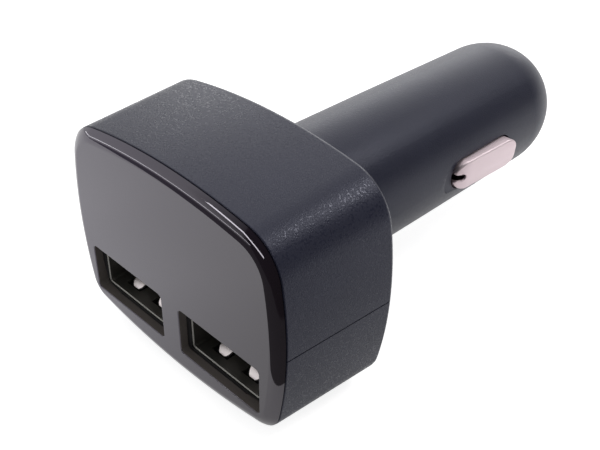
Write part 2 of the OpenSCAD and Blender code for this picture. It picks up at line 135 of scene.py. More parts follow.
def spanned(tree, value, given, wanted=(0, 1)):
    """A value taken from one span of numbers to another, and held within it."""
    node = tree.nodes.new("ShaderNodeMapRange")
    for entry, number in zip(("From Min", "From Max", "To Min", "To Max"), (*given, *wanted)):
        node.inputs[entry].default_value = number
    feed(tree, node.inputs["Value"], value)
    return node.outputs["Result"]


def blended(tree, kind, factor, one, other):
    """One number or colour that turns into another as the factor goes from 0 to 1."""
    node = tree.nodes.new("ShaderNodeMix")
    node.data_type = kind
    for entry, given in (("Factor", factor), ("A", one), ("B", other)):
        feed(tree, node.inputs[entry], given)
    return node.outputs["Result"]


def spot(tree):
    """Where a point of the object lies, in metres."""
    return tree.nodes.new("ShaderNodeTexCoord").outputs["Object"]


def coordinate(tree, axis):
    """How far along X, Y or Z a point of the object lies, in metres."""
    parts = tree.nodes.new("ShaderNodeSeparateXYZ")
    feed(tree, parts.inputs["Vector"], spot(tree))
    return parts.outputs[axis]


def noise(tree, scale, where, detail=2):
    """A soft random pattern of so many lumps a metre."""
    node = tree.nodes.new("ShaderNodeTexNoise")
    node.inputs["Detail"].default_value = detail
    feed(tree, node.inputs["Scale"], scale)
    feed(tree, node.inputs["Vector"], where)
    return node.outputs["Fac"]


def relief(tree, height, depth, strength):
    """The bumpy normal of a height pattern of some depth."""
    bump = tree.nodes.new("ShaderNodeBump")
    bump.inputs["Strength"].default_value = strength
    bump.inputs["Distance"].default_value = depth
    feed(tree, bump.inputs["Height"], height)
    return bump.outputs["Normal"]


def ray_kinds(tree):
    """Two levels, each 1 or 0: is this seen by the camera itself, and is it seen mirrored."""
    path = tree.nodes.new("ShaderNodeLightPath")
    seen = reckoned(tree, "MAXIMUM", path.outputs["Is Camera Ray"],
                    path.outputs["Is Transmission Ray"])
    return seen, path.outputs["Is Glossy Ray"]


# %% [markdown]
# The ground is one pale sheet. It is plain white to the camera, and it still shows the soft shadow
# where the plug stands on it. Its front edge runs askew, close in front of the plug, so the panel's
# right edge mirrors the dark beyond it. Beside the head its glow in mirrors carries a painted
# shadow, so what the head's side mirrors there is dimmer.

# %% Floor
scene = bpy.context.scene
scene.view_settings.view_transform = "Standard"
sheet_size, sheet_front = 1200 * mm, 61 * mm
sheet_turn = radians(30)
sheet_place = (-sheet_size / 2 * sin(sheet_turn), sheet_size / 2 * cos(sheet_turn) - sheet_front, 0)
seen_lift, mirrored_lift = 0.8, 0.72
# Where the painted shadow in the floor's mirrored glow lies beside the head, how far it reaches,
# and how deep it is.
painted_shadow_place = (37 * mm, -20 * mm, 0)
painted_shadow_near, painted_shadow_far = 18 * mm, 60 * mm
painted_shadow_depth = 0.5


def floor_paper():
    """Matt white that glows for the camera and in mirrors, with a painted shadow in mirrors beside
    the head.
    """
    material, tree, shader = new_material("white_floor")
    shader.inputs["Base Color"].default_value = (0.62, 0.62, 0.62, 1)
    shader.inputs["Roughness"].default_value = 0.95
    shader.inputs["Specular IOR Level"].default_value = 0.1
    away = tree.nodes.new("ShaderNodeVectorMath")
    away.operation = "DISTANCE"
    away.inputs[1].default_value = Vector(painted_shadow_place) - Vector(sheet_place)
    feed(tree, away.inputs[0], spot(tree))
    # Painted shadow: the glow that mirrors see is dimmed near a point beside the head, where the
    # head's shadow falls.
    shade = spanned(tree, away.outputs["Value"], (painted_shadow_near, painted_shadow_far),
                    (mirrored_lift * painted_shadow_depth, mirrored_lift))
    seen, mirrored = ray_kinds(tree)
    glow = reckoned(tree, "MULTIPLY", mirrored, shade)
    lift = reckoned(tree, "MULTIPLY_ADD", seen, seen_lift, glow)
    shader.inputs["Emission Color"].default_value = (1, 1, 1, 1)
    feed(tree, shader.inputs["Emission Strength"], lift)
    return material


deselect_all()
bpy.ops.mesh.primitive_plane_add(size=sheet_size, location=sheet_place,
                                 rotation=(0, 0, sheet_turn))
bpy.ops.object.transform_apply(location=False, rotation=True, scale=False)
floor = bpy.context.object
floor.name = "floor"
floor.data.materials.append(floor_paper())
print("floor:", round(sheet_size / mm), "mm square, turned", round(degrees(sheet_turn)), "degrees")

# %% [markdown]
# The room round the table is white, with three dim parts: in front of the plug, at its back right,
# and under the table. Glossy and satin faces show those parts as dark bands and the rest as pale
# ones. Two soft boxes add light from above and behind, two narrow strips draw the fine lines in
# the panel's edge, and one small lamp makes the grain glint on the head's near upper corner.
# The lamps stand well away from the plug, so their places and sizes are in metres.

# %% The room
room_level = 0.5


def fade(tree, direction, towards, start, end, dim):
    """1 away from a direction of the room, falling to dim as it is faced."""
    facing = tree.nodes.new("ShaderNodeVectorMath")
    facing.operation = "DOT_PRODUCT"
    facing.inputs[1].default_value = towards
    feed(tree, facing.inputs[0], direction)
    return spanned(tree, facing.outputs["Value"], (start, end), (1, dim))


def white_room():
    """A white room that lights the plug evenly, and whose dim parts show in mirrors alone."""
    world = bpy.data.worlds.new("studio")
    world.use_nodes = True
    tree = world.node_tree
    direction = tree.nodes.new("ShaderNodeTexCoord").outputs["Generated"]
    front_side = fade(tree, direction, (0.5, -0.8, 0.33), 0.35, 0.6, 0.05)
    back_right = fade(tree, direction, (0.70, 0.68, 0.25), 0.80, 0.94, 0.17)
    under_table = fade(tree, direction, (0, 0, -1), 0.02, 0.08, 0.13)
    shown = reckoned(tree, "MINIMUM", front_side, back_right)
    shown = reckoned(tree, "MINIMUM", shown, under_table)
    seen, mirrored = ray_kinds(tree)
    level = blended(tree, "FLOAT", mirrored, room_level, shown)
    sky = tree.nodes["Background"]
    sky.inputs["Color"].default_value = (1, 1, 1, 1)
    feed(tree, sky.inputs["Strength"], blended(tree, "FLOAT", seen, level, 1.0))
    return world


scene.world = white_room()


def add_lamp(name, place, target, width, height, power, tilt=0):
    """A soft box at a place, turned towards a target and tilted by so many degrees."""
    deselect_all()
    turn = (Vector(target) - Vector(place)).to_track_quat("-Z", "Y")
    turn = turn @ Quaternion((0, 0, 1), radians(tilt))
    bpy.ops.object.light_add(type="AREA", location=place, rotation=turn.to_euler())
    lamp = bpy.context.object
    lamp.name = name
    lamp.data.shape = "RECTANGLE"
    lamp.data.size, lamp.data.size_y = width, height
    lamp.data.energy = power
    print(name, power, "W")


plug_middle = (0, 0, 15 * mm)
add_lamp("top_box", (-0.22, 0.16, 0.6), plug_middle, 0.5, 0.5, 0.6)
add_lamp("back_box", (-0.34, 0.48, 0.22), plug_middle, 0.6, 0.25, 0.9)
add_lamp("strip", (-0.33, -0.36, 0.04), plug_middle, 0.5, 0.012, 0.08)
add_lamp("edge_strip", (-0.11, -0.52, 0.15), plug_middle, 0.44, 0.035, 0.4, tilt=-18)
near_corner = (20 * mm, -30 * mm, 30 * mm)
add_lamp("spark", (0.128, 0.141, 0.252), near_corner, 0.07, 0.07, 0.2)

# %% [markdown]
# Moulded plastic is never quite smooth: the mould's surface is eroded by sparks, which leaves a
# fine even grain. A few of its pits end in polished facets, which sparkle where they mirror a
# lamp; the barrel has fewer than the head. One node group makes that grain, so that each plastic
# can use it at its own size. It puts out a height for a Bump node, a mottle and the facets.

# %% Grain shared by the moulded pieces
mottle_scale, speck_scale = 160, 3600
speck_edges = (0.58, 0.66)
barrel_share = 0.25
share_fade = 3 * mm


def grain_group():
    """A node group: grain size in, and a height, a mottle and sparse facets out."""
    tree = bpy.data.node_groups.new("moulded_grain", "ShaderNodeTree")
    tree.interface.new_socket("Scale", in_out="INPUT", socket_type="NodeSocketFloat")
    tree.interface.new_socket("Height", in_out="OUTPUT", socket_type="NodeSocketFloat")
    tree.interface.new_socket("Mottle", in_out="OUTPUT", socket_type="NodeSocketFloat")
    tree.interface.new_socket("Facets", in_out="OUTPUT", socket_type="NodeSocketFloat")
    start = tree.nodes.new("NodeGroupInput")
    end = tree.nodes.new("NodeGroupOutput")
    place = spot(tree)
    feed(tree, end.inputs["Height"], noise(tree, start.outputs["Scale"], place, detail=3))
    feed(tree, end.inputs["Mottle"], noise(tree, mottle_scale, place))
    specks = spanned(tree, noise(tree, speck_scale, place, detail=0), speck_edges)
    share = spanned(tree, coordinate(tree, "Y"), (head_end, head_end + share_fade),
                    (1, barrel_share))
    feed(tree, end.inputs["Facets"], reckoned(tree, "MULTIPLY", specks, share))
    return tree


moulded_grain = grain_group()
print("grain group:", [item.name for item in moulded_grain.interface.items_tree])


def moulded(name, dark, light, roughness, polished, grain, depth, specular):
    """A moulded plastic: two close tones, a grain of so many pits a metre, and its few facets."""
    material, tree, shader = new_material(name)
    group = tree.nodes.new("ShaderNodeGroup")
    group.node_tree = moulded_grain
    group.inputs["Scale"].default_value = grain
    tone = blended(tree, "RGBA", group.outputs["Mottle"], (*dark, 1), (*light, 1))
    gloss = spanned(tree, group.outputs["Facets"], (0, 1), (roughness, polished))
    feed(tree, shader.inputs["Base Color"], tone)
    feed(tree, shader.inputs["Roughness"], gloss)
    feed(tree, shader.inputs["Normal"], relief(tree, group.outputs["Height"], depth, 0.6))
    shader.inputs["Specular IOR Level"].default_value = specular
    shader.inputs["Specular Tint"].default_value = (0.85, 0.86, 1, 1)
    return material


charcoal = moulded("charcoal_plastic", (0.014, 0.015, 0.028), (0.020, 0.021, 0.038),
                   roughness=0.40, polished=0.21, grain=5000, depth=0.05 * mm, specular=0.33)
satin = moulded("satin_plastic", (0.09, 0.078, 0.07), (0.125, 0.11, 0.10),
                roughness=0.5, polished=0.4, grain=3000, depth=0.03 * mm, specular=0.4)
black = moulded("black_plastic", (0.006, 0.006, 0.006), (0.01, 0.01, 0.01),
                roughness=0.4, polished=0.3, grain=4000, depth=0.02 * mm, specular=0.3)

# %% [markdown]
# The front is a polished, smoked panel. What we see in it is mostly the pale sheet before it, so
# its own colour is nearly black and its gloss does the work. Its colour also carries painted light:
# it is lighter on the left and darker on the right.

# %% Panel finish
def smoked_finish_with_painted_light():
    """Near-black gloss tinted from plum on the left to brown on the right, painted lighter on the
    left and darker on the right.
    """
    material, tree, shader = new_material("smoked_panel")
    across = spanned(tree, coordinate(tree, "X"), (-head_w / 2, head_w / 2))
    # Painted light: the left's colour is lighter and the right's darker, standing in for how the
    # mirrored light falls across the face.
    tint = blended(tree, "RGBA", across, (0.042, 0.034, 0.058, 1), (0.006, 0.003, 0.005, 1))
    feed(tree, shader.inputs["Base Color"], tint)
    shader.inputs["Roughness"].default_value = 0.04
    shader.inputs["IOR"].default_value = 1.75
    shader.inputs["Specular Tint"].default_value = (0.95, 0.90, 1, 1)
    return material


smoked = smoked_finish_with_painted_light()
print("panel finish:", smoked.name)

# %% [markdown]
# Metals are tinted mirrors that differ in how they were made. Nickel plating is bright and a
# little warm, drawn wire and stamped sheet are duller, and all carry faint uneven streaks. The
# ports' fingers are the shells' own sheet, but far lighter: a painted highlight.

# %% Metal finishes
streak_scale = 900
streak_stretch = (1, 0.15, 1)


def metal(name, tint, roughness, streak=0.08):
    """A tinted mirror, rubbed into faint streaks along the plug."""
    material, tree, shader = new_material(name)
    stretch = tree.nodes.new("ShaderNodeMapping")
    stretch.inputs["Scale"].default_value = streak_stretch
    feed(tree, stretch.inputs["Vector"], spot(tree))
    rub = noise(tree, streak_scale, stretch.outputs["Vector"])
    worn = spanned(tree, rub, (0, 1), (roughness - streak / 2, roughness + streak / 2))
    feed(tree, shader.inputs["Roughness"], worn)
    shader.inputs["Base Color"].default_value = (*tint, 1)
    shader.inputs["Metallic"].default_value = 1
    return material


nickel = metal("nickel", (0.74, 0.63, 0.66), 0.55)
steel = metal("shell_steel", (0.22, 0.215, 0.20), 0.45)
# Painted highlight: the fingers are the shell's own sheet, painted far lighter where they catch the
# light.
finger_steel_painted_highlight = metal("finger_steel_painted_highlight", (0.95, 0.88, 0.88), 0.35)
spring_steel = metal("spring_steel", (0.55, 0.55, 0.57), 0.35)
gold = metal("gold_contact", (0.83, 0.6, 0.25), 0.25)
brass = metal("brass", (0.78, 0.58, 0.28), 0.35)
copper = metal("copper_wire", (0.75, 0.33, 0.15), 0.3)
print("metals:", nickel.name, steel.name, gold.name)

# %% [markdown]
# The head's outline is eight arcs that run into each other: two bowed sides, a bowed top and
# bottom, and a corner between each pair. Every ring of the housing and of the panel is this
# outline moved in or out, so one function draws them all.

# %% The head's outline
side_arc_r = 54 * mm
crown_arc_r = 88 * mm
corner_top_r = 6.3 * mm
corner_bottom_r = 3.9 * mm
side_steps, corner_steps, crown_steps = 14, 10, 14
side_centre = Vector((head_w / 2 - side_arc_r, 0))
crown_centre = Vector((0, head_h / 2 - crown_arc_r))


def corner_centre(radius):
    """The centre of a corner arc that touches the right side arc and the top arc."""
    across = crown_centre - side_centre
    gap = across.length
    reach = side_arc_r - radius
    other = crown_arc_r - radius
    along = (reach ** 2 - other ** 2 + gap ** 2) / (2 * gap)
    out = sqrt(reach ** 2 - along ** 2)
    return side_centre + along * across / gap + out * Vector((-across.y, across.x)) / gap


def quarter(radius):
    """Three arcs of the upper right quarter: centre, radius, first and last angle, steps."""
    centre = corner_centre(radius)
    low = atan2(centre.y - side_centre.y, centre.x - side_centre.x)
    high = atan2(centre.y - crown_centre.y, centre.x - crown_centre.x)
    return [(side_centre, side_arc_r, 0, low, side_steps // 2),
            (centre, radius, low, high, corner_steps),
            (crown_centre, crown_arc_r, high, pi / 2, crown_steps // 2)]


def outline_normals():
    """Points of the outline with their outward directions, anticlockwise from the right."""
    def walk(radius):
        return [(centre + r * Vector((cos(t), sin(t))), Vector((cos(t), sin(t))))
                for centre, r, first, last, steps in quarter(radius)
                for t in (first + (last - first) * i / steps for i in range(steps))]

    def flip(pair, x, y):
        return tuple(Vector((x * v.x, y * v.y)) for v in pair)

    top, low = walk(corner_top_r), walk(corner_bottom_r)
    peak = [(Vector((0, head_h / 2)), Vector((0, 1)))]
    right_up = top + peak
    left_down = [flip(p, -1, 1) for p in reversed(top)]
    under_left = [flip(p, -1, -1) for p in low[1:]] + [flip(p, 1, -1) for p in peak]
    under_right = [flip(p, 1, -1) for p in reversed(low[1:])]
    return right_up + left_down + under_left + under_right


outline = outline_normals()
print("outline points:", len(outline))


def outline_ring(offset, depth):
    """The outline moved out by offset, at a depth behind the face."""
    return [Vector((p.x + offset * n.x, face_y + depth, axis_z + p.y + offset * n.y))
            for p, n in outline]


def round_ring(radius, depth):
    """A circle round the barrel's axis, its points in line with the outline's."""
    turns = [atan2(p.y, p.x) for p, n in outline]
    return [Vector((radius * cos(t), face_y + depth, axis_z + radius * sin(t))) for t in turns]


def arc_steps(centre, radius, first, last, steps):
    """Points (across, depth) on an arc, angles in degrees."""
    turns = [radians(first + (last - first) * i / steps) for i in range(steps + 1)]
    return [(centre[0] + radius * cos(t), centre[1] + radius * sin(t)) for t in turns]


# %% [markdown]
# A skin is grown ring by ring, as one would by hand: start from a circle, put its points on the
# first ring, then extrude its edge and settle the new points on the next ring, and so on. The
# ends are either capped with a face or left open.

# %% Growing a skin from rings
def settle(mesh, before, after, digits=7):
    """Moves the selected points, which still lie on one ring, to the next ring's places."""
    places = {tuple(round(c, digits) for c in old): new for old, new in zip(before, after)}
    for vertex in mesh.verts:
        if vertex.select:
            vertex.co = places[tuple(round(c, digits) for c in vertex.co)]


def grow_skin(name, rings, cap_start=True, cap_end=True):
    """A piece whose skin passes through the rings in turn."""
    deselect_all()
    count = len(rings[0])
    bpy.ops.mesh.primitive_circle_add(vertices=count, radius=mm,
                                      fill_type="NGON" if cap_start else "NOTHING")
    piece = bpy.context.object
    piece.name = name
    piece.data.name = name
    for vertex, place in zip(piece.data.vertices, rings[0]):
        vertex.co = place
    bpy.ops.object.mode_set(mode="EDIT")
    bpy.ops.mesh.select_mode(type="VERT")
    bpy.ops.mesh.select_all(action="SELECT")
    for before, after in zip(rings, rings[1:]):
        bpy.ops.mesh.extrude_edges_move()
        mesh = bmesh.from_edit_mesh(piece.data)
        settle(mesh, before, after)
        bmesh.update_edit_mesh(piece.data)
    if cap_end:
        bpy.ops.mesh.edge_face_add()
    bpy.ops.mesh.select_all(action="SELECT")
    bpy.ops.mesh.normals_make_consistent(inside=False)
    bpy.ops.object.mode_set(mode="OBJECT")
    return piece


# %% [markdown]
# A few helpers come back for most pieces. They cut a piece with another, round the edges that a
# test picks out, close a skin's seams, and give the finished piece its shading, its finish and
# its place in the moving model. Weighted normals keep broad faces flat beside their roundings.

# %% Helpers for cutting, rounding and finishing
smooth_below = radians(32)


def cut(piece, cutter):
    """Cuts a piece with another one, which is used up."""
    take(piece)
    knife = piece.modifiers.new("cut", "BOOLEAN")
    knife.operation = "DIFFERENCE"
    knife.solver = "EXACT"
    knife.object = cutter
    bpy.ops.object.modifier_apply(modifier=knife.name)
    bpy.data.objects.remove(cutter, do_unlink=True)


def round_edges(piece, wanted, width, steps=3, sharper_than=40):
    """Rounds the sharp edges whose two ends both pass the test."""
    take(piece)
    bpy.ops.object.mode_set(mode="EDIT")
    bpy.ops.mesh.select_mode(type="EDGE")
    bpy.ops.mesh.select_all(action="DESELECT")
    mesh = bmesh.from_edit_mesh(piece.data)
    for edge in mesh.edges:
        sharp = len(edge.link_faces) == 2 and edge.calc_face_angle(0) > radians(sharper_than)
        if sharp and all(wanted(v.co) for v in edge.verts):
            edge.select_set(True)
    bmesh.update_edit_mesh(piece.data)
    bpy.ops.mesh.bevel(offset=width, segments=steps, affect="EDGES")
    bpy.ops.object.mode_set(mode="OBJECT")


def finish(piece, material, slot, body, *nodes):
    """Shades a piece, gives it its material, and lets it stand for its CAD nodes; slot is not used.
    """
    take(piece)
    bpy.ops.object.shade_smooth_by_angle(angle=smooth_below)
    even = piece.modifiers.new("even", "WEIGHTED_NORMAL")
    even.keep_sharp = True
    bpy.ops.object.modifier_apply(modifier=even.name)
    piece.data.materials.clear()
    piece.data.materials.append(material)
    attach(piece, body)
    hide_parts(*nodes)
    print(piece.name, len(piece.data.polygons), "faces")


def refinish(piece, material, wanted):
    """Gives the faces whose middle and normal pass a test a finish of their own."""
    piece.data.materials.append(material)
    for face in piece.data.polygons:
        if wanted(face.center, face.normal):
            face.material_index = len(piece.data.materials) - 1


def merge_points(piece):
    """Closes the seams of a skin and points all its faces outwards."""
    take(piece)
    bpy.ops.object.mode_set(mode="EDIT")
    bpy.ops.mesh.select_all(action="SELECT")
    bpy.ops.mesh.remove_doubles(threshold=0.001 * mm)
    bpy.ops.mesh.normals_make_consistent(inside=False)
    bpy.ops.object.mode_set(mode="OBJECT")


# %% [markdown]
# The housing is one moulding that a mould maker splits in two halves: a drafted head, a rear wall,
# a fillet into the barrel, and a rounded nose with the tip contact's bore. Its skin runs from the
# front rim over the outside to the bore, and back through the inside to the rim, so the walls get
# their real thickness at once. The head's rings are outlines and the barrel's are circles.

# %% Housing skin
wall_t = 1.8 * mm
draft = radians(3.4)
front_rim = 1.11 * mm
rim_r = 0.15 * mm
rear_edge_r = 0.8 * mm
root_r = 1.4 * mm
barrel_r = 10.4 * mm
bore_r = 8.6 * mm
straight_end = 41.5 * mm
nose_r = 10.3 * mm
nose_start = 65.6 * mm
nose_l = 11 * mm
nose_flat_r = 3 * mm
tip_bore_r = 2.2 * mm
bore_edge = 0.2 * mm
collar_bore_r = 3.6 * mm
mouth_l = 2.8 * mm
cavity_end = 63.52 * mm
nose_steps = 20
rear_out = head_l * tan(draft)
nose_turn = acos(nose_flat_r / nose_r)
nose_face = nose_start + nose_l * sin(nose_turn)
shoulder = nose_face - mouth_l


def wall_off(depth):
    """How far the drafted outer wall stands out at a depth behind the face."""
    return depth * tan(draft)


def housing_rings():
    """The skin's rings from the front rim outside, round the nose and back inside to the rim."""
    head = arc_steps((wall_off(front_rim) - rim_r, front_rim + rim_r), rim_r, -90, 0, 3)
    head += arc_steps((rear_out - rear_edge_r, head_l - rear_edge_r), rear_edge_r, 0, 90, 6)
    root = arc_steps((barrel_r + root_r, head_l + root_r), root_r, -90, -180, 8)
    barrel = [(barrel_r, straight_end)]
    nose = [(nose_r * cos(t), nose_start + nose_l * sin(t))
            for t in (nose_turn * i / nose_steps for i in range(nose_steps + 1))]
    bore = [(tip_bore_r + bore_edge, nose_face), (tip_bore_r, nose_face - bore_edge),
            (tip_bore_r, shoulder), (collar_bore_r, shoulder), (collar_bore_r, cavity_end),
            (bore_r, cavity_end), (bore_r, head_l - wall_t)]
    inside = [(rear_out - wall_t, head_l - wall_t),
              (wall_off(front_rim) - wall_t, front_rim)]
    rings = ([outline_ring(*ring) for ring in head]
             + [round_ring(*ring) for ring in root + barrel + nose + bore]
             + [outline_ring(*ring) for ring in inside])
    return rings + rings[:1]


housing = grow_skin("housing", housing_rings(), cap_start=False, cap_end=False)
merge_points(housing)
print("housing skin:", len(housing.data.vertices), "points")

# %% [markdown]
# Each side contact sits in a pocket with round ends. The pocket's outline and the contact's are
# the same pill shape at two sizes, so one function draws both, and a pill that has no height left
# collapses onto its own middle line, which closes a cap neatly.

# %% Pockets for the side contacts
side_mid = 51.6 * mm
side_z = axis_z - 0.5 * mm
pocket_l = 14.4 * mm
pocket_h = 5.2 * mm
recess_l = 2 * mm
recess_t = 0.4 * mm
pocket_edge_r = 0.12 * mm
outside = 1.5 * barrel_r


def pill(length, height, end_steps=16, straight_steps=14):
    """Points (along the barrel, up) of a bar with round ends, anticlockwise."""
    r, a = height / 2, (length - height) / 2
    turns = [pi * (i / end_steps - 0.5) for i in range(end_steps + 1)]
    end = [(a + r * cos(t), r * sin(t)) for t in turns]
    edge = [(a - 2 * a * i / straight_steps, r) for i in range(1, straight_steps)]
    return end + edge + [(-u, -v) for u, v in end] + [(-u, -v) for u, v in edge]


def side_ring(side, points, across, middle):
    """A ring beside the barrel: across is one distance from its axis, or one for each point."""
    reach = across if isinstance(across, list) else [across] * len(points)
    return [Vector((side * x, face_y + middle + u, side_z + v))
            for x, (u, v) in zip(reach, points)]


for side in (-1, 1):
    for name, length, inner in (("recess", pocket_l + recess_l, barrel_r - recess_t),
                                ("pocket", pocket_l, barrel_r / 2)):
        middle = side_mid - (length - pocket_l) / 2
        rings = [side_ring(side, pill(length, pocket_h, straight_steps=1), x, middle)
                 for x in (inner, outside)]
        cut(housing, grow_skin(name, rings))
# Only the outer edges are rounded: those in the inner wall, nearer the axis, stay as cut.
pocket_outer = 0.9 * barrel_r
pocket_zone = pocket_l / 2 + recess_l + 2 * mm
pocket_rise = pocket_h / 2 + 0.6 * mm
round_edges(housing, lambda p: abs(p.x) > pocket_outer
            and abs(p.y - face_y - side_mid) < pocket_zone
            and abs(p.z - side_z) < pocket_rise, pocket_edge_r)
print("housing with pockets:", len(housing.data.polygons), "faces")

# %% [markdown]
# Where the halves meet, the head shows a thin shadow line on both sides. It is a shallow groove,
# cut by a sliver of a box whose inner face follows the drafted wall. Then the housing is copied
# and bisected at the split, once for each half, and the cut is filled.

# %% Shadow line and the two halves
split_z = axis_z - 1.1 * mm
seam_gap = 0.16 * mm
seam_depth = 0.35 * mm


def groove(side):
    """The sliver that cuts the shadow line on one side of the head."""
    deselect_all()
    bpy.ops.mesh.primitive_cube_add(size=1)
    sliver = bpy.context.object
    for vertex in sliver.data.vertices:
        depth = head_l + mm if vertex.co.y > 0 else 0
        inner = head_w / 2 - seam_depth + wall_off(depth)
        vertex.co = (side * (inner if vertex.co.x < 0 else head_w),
                     face_y + depth, split_z + vertex.co.z * seam_gap)
    merge_points(sliver)
    return sliver


def half_of(whole, name, up):
    """A copy of the housing with everything below or above the split cut away."""
    half = whole.copy()
    half.data = whole.data.copy()
    half.name = half.data.name = name
    bpy.context.collection.objects.link(half)
    take(half)
    bpy.ops.object.mode_set(mode="EDIT")
    bpy.ops.mesh.select_all(action="SELECT")
    bpy.ops.mesh.bisect(plane_co=(0, 0, split_z), plane_no=(0, 0, 1), use_fill=True,
                        clear_inner=up, clear_outer=not up, threshold=0.0001 * mm)
    bpy.ops.object.mode_set(mode="OBJECT")
    return half


for side in (-1, 1):
    cut(housing, groove(side))
upper_half = half_of(housing, "upper_half", True)
lower_half = half_of(housing, "lower_half", False)
bpy.data.objects.remove(housing, do_unlink=True)
finish(upper_half, charcoal, "charcoal_plastic", "body", "upper_housing")
finish(lower_half, charcoal, "charcoal_plastic", "body", "lower_housing")

# %% [markdown]
# The panel is a shallow tray: a flat face with a rounded edge that wraps round the head's front,
# and a lip behind that slides into the housing. Its skin is grown like the housing's. The edge is
# an arc that leaves the face at a slight angle, so the flat face ends in a fine crease. One extra
# ring just inside it keeps the face truly flat, so that reflections don't bend in it.

# %% Front panel
panel_wrap = 0.95 * mm
panel_t = 1.2 * mm
panel_edge_w = 1.7 * mm
face_inset = 0.15 * mm
edge_start = radians(12)
lip_out = 1.9 * mm
lip_in = 3.0 * mm
lip_reach = 4 * mm
chord = atan2(panel_wrap, panel_edge_w)
edge_r = sqrt(panel_wrap ** 2 + panel_edge_w ** 2) / (2 * sin(chord - edge_start))
edge_centre = (-panel_edge_w - edge_r * sin(edge_start), edge_r * cos(edge_start))
edge_arc = arc_steps(edge_centre, edge_r, degrees(edge_start) - 90,
                     degrees(2 * chord - edge_start) - 90, 10)
panel_rings = ([(-panel_edge_w - face_inset, 0)] + edge_arc
               + [(-lip_out, panel_wrap), (-lip_out, lip_reach),
                  (-lip_in, lip_reach), (-lip_in, panel_t)])
panel = grow_skin("smoked_front", [outline_ring(*ring) for ring in panel_rings])
print("panel skin:", len(panel.data.vertices), "points")

# %% [markdown]
# Both openings are cut by one shape, a block with slightly rounded corners, and their rims are
# rounded a little, as a polished moulding has them. The walls inside are left as moulded, which
# is a satin face in the same smoked plastic.

# %% Openings in the panel
port_w, port_h, port_r = 15 * mm, 7.2 * mm, 0.6 * mm
port_x = 9.3 * mm
port_z = axis_z - 8 * mm
opening_edge_r = 0.16 * mm
opening_depth = 2.5 * mm
touch = 0.01 * mm


def block_ring(w, h, r, depth, x, turn_steps=5):
    """A rectangle with rounded corners round a port's middle, at a depth behind the face."""
    ring = []
    for sx, sz, first in ((1, 1, 0), (-1, 1, 90), (-1, -1, 180), (1, -1, 270)):
        for across, up in arc_steps((sx * (w / 2 - r), sz * (h / 2 - r)), r, first, first + 90,
                                    turn_steps):
            ring.append(Vector((x + across, face_y + depth, port_z + up)))
    return ring


def at_opening(p):
    """Whether a point lies within an opening or on its rim, seen from the front."""
    return (abs(abs(p.x) - port_x) < port_w / 2 + touch
            and abs(p.z - port_z) < port_h / 2 + touch)


for side in (-1, 1):
    opening = [block_ring(port_w, port_h, port_r, depth, side * port_x)
               for depth in (-mm, 2 * panel_t)]
    cut(panel, grow_skin("opening", opening))
round_edges(panel, lambda p: p.y < face_y + touch and at_opening(p), opening_edge_r, steps=4)
finish(panel, smoked, "smoked_panel", "body", "front_panel")
refinish(panel, satin, lambda p, n: abs(n.y) < 0.5 and p.y < face_y + opening_depth
         and at_opening(p))

# %% [markdown]
# A port's shell is one strip of sheet steel folded into a box. Two tongues are punched free in
# each broad wall and bent inwards to grip the plug, so the shell gets four windows, cut two at a
# time, and four fingers. Each finger is grown as a strip with a rounded end.

# %% Port shells
shell_w, shell_h, shell_t, shell_l = 13.14 * mm, 5.72 * mm, 0.32 * mm, 14 * mm
fold_r, shell_lip = 0.6 * mm, 0.1 * mm
finger_x, finger_half = 2.9 * mm, 1.2 * mm
window_w, window_r = 3 * mm, 0.4 * mm
window_start, window_end = 2.6 * mm, 8.3 * mm
# The depths over which the fingers get their painted highlight.
painted_highlight_start, painted_highlight_end = 3 * mm, 8 * mm
shell_back = panel_t + shell_l


def shell_box(name, x):
    """The folded box: outside from the back to the rim, over the rim, and inside to the back."""
    sections = [(0, shell_back), (0, panel_t + shell_lip), (shell_lip, panel_t),
                (shell_t - shell_lip, panel_t), (shell_t, panel_t + shell_lip),
                (shell_t, shell_back - shell_t)]
    return grow_skin(name, [block_ring(shell_w - 2 * t, shell_h - 2 * t, fold_r - 0.7 * t, d, x)
                            for t, d in sections])


def finger(x, up):
    """One spring finger: a strip that leaves the wall, bends in and has a rounded end."""
    # In millimetres: the depth behind the face, the bend inwards and half the width.
    path = [(8.4, 0, 1.2), (7, 0.04, 1.2), (6, 0.16, 1.2), (5.2, 0.36, 1.2), (4.8, 0.46, 1.2),
            (4.5, 0.5, 1.2), (4.2, 0.48, 1.18), (3.9, 0.34, 1.12), (3.5, 0.02, 0.96),
            (3.2, -0.22, 0.74), (3.05, -0.34, 0.5)]
    rings = []
    for depth, bent, half in path:
        wall = shell_h / 2 - bent * mm
        rings.append([Vector((x + sx * half * mm, face_y + depth * mm,
                              port_z + up * (wall - thick)))
                      for sx, thick in ((-1, 0), (1, 0), (1, shell_t), (-1, shell_t))])
    return grow_skin("finger", rings)


def port_shell(name, side):
    """A shell with its four windows and four fingers."""
    shell = shell_box(name, side * port_x)
    middles = [side * port_x + s * finger_x for s in (-1, 1)]
    for x in middles:
        window = [block_ring(window_w, 2 * shell_h, window_r, depth, x)
                  for depth in (window_start, window_end)]
        cut(shell, grow_skin("window", window))
    fingers = [finger(x, up) for x in middles for up in (-1, 1)]
    take(shell)
    for strip in fingers:
        strip.select_set(True)
    bpy.ops.object.join()
    return shell


for name, side in (("left", -1), ("right", 1)):
    shell = port_shell(f"port_shell_{name}", side)
    finish(shell, steel, "shell_steel", "body", f"usb_shell_{name}")
    # The fingers between these depths take the steel with the painted highlight.
    refinish(shell, finger_steel_painted_highlight, lambda p, n: painted_highlight_start < p.y - face_y < painted_highlight_end
             and abs(abs(p.x - side * port_x) - finger_x) < finger_half + 0.1 * mm)

